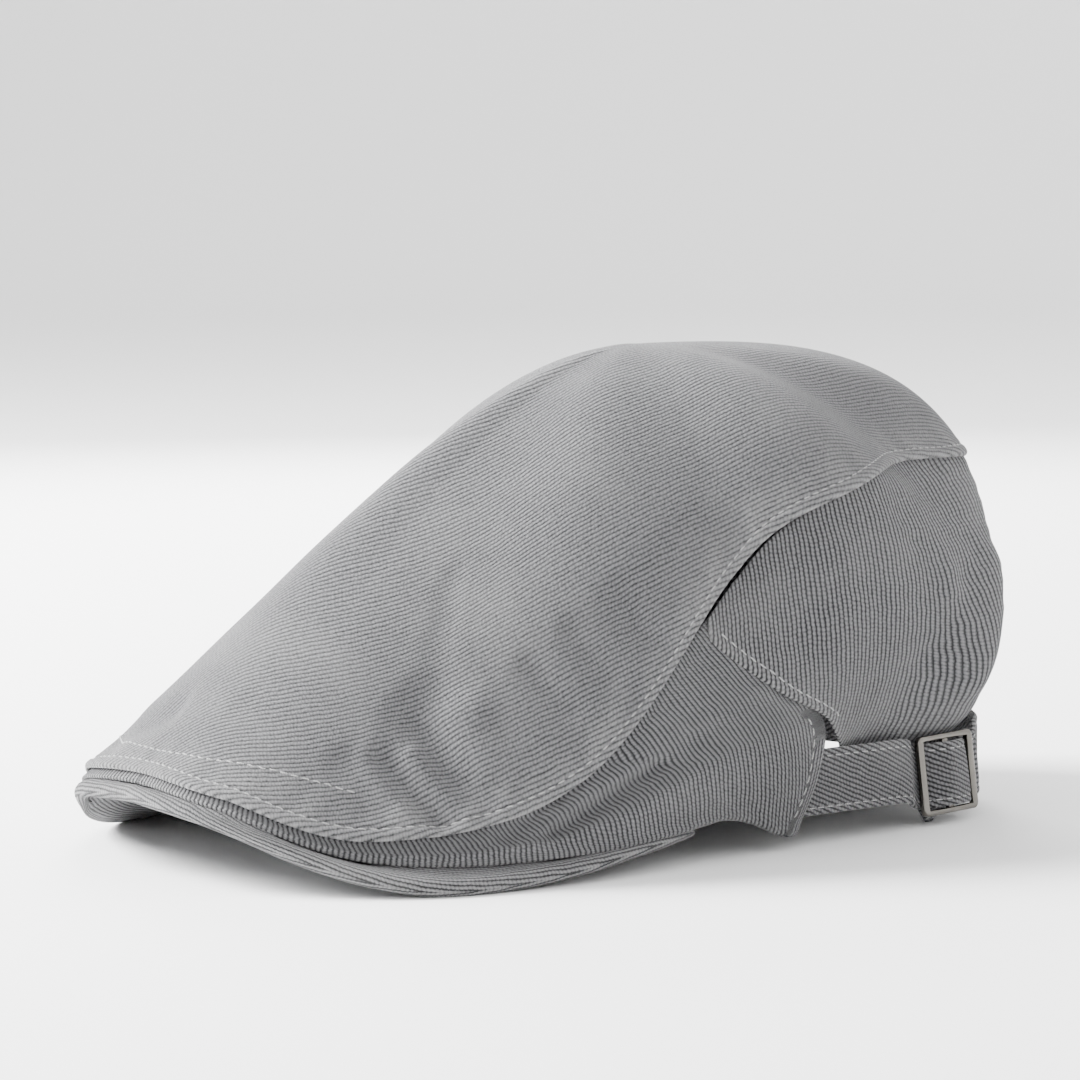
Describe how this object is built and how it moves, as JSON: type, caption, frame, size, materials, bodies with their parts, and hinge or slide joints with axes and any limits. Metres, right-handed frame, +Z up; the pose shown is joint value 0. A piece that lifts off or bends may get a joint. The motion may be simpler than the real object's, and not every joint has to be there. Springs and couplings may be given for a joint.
{
  "type": "flat cap",
  "caption": "Flat cap of grey cotton twill: sloping crown lapped over side and rear panels, stiff covered peak, and a rear strap fastened by a slide buckle.",
  "frame": {"origin": "on the surface the cap rests on, below the middle of its outer box", "axes": "-Y towards the tip of the peak, +X towards the wearer's left, +Z up"},
  "size_m": [0.1706, 0.262, 0.1295],
  "materials": {
    "twill": "washed cotton twill, matt",
    "metal": "dark plated, half bright"
  },
  "bodies": {
    "root": {"top_panel": "twill", "side_panel_left": "twill", "side_panel_right": "twill", "back_panel": "twill", "peak": "twill", "strap_left": "twill", "strap_back": "twill", "buckle": "metal"}
  },
  "joints": []
}
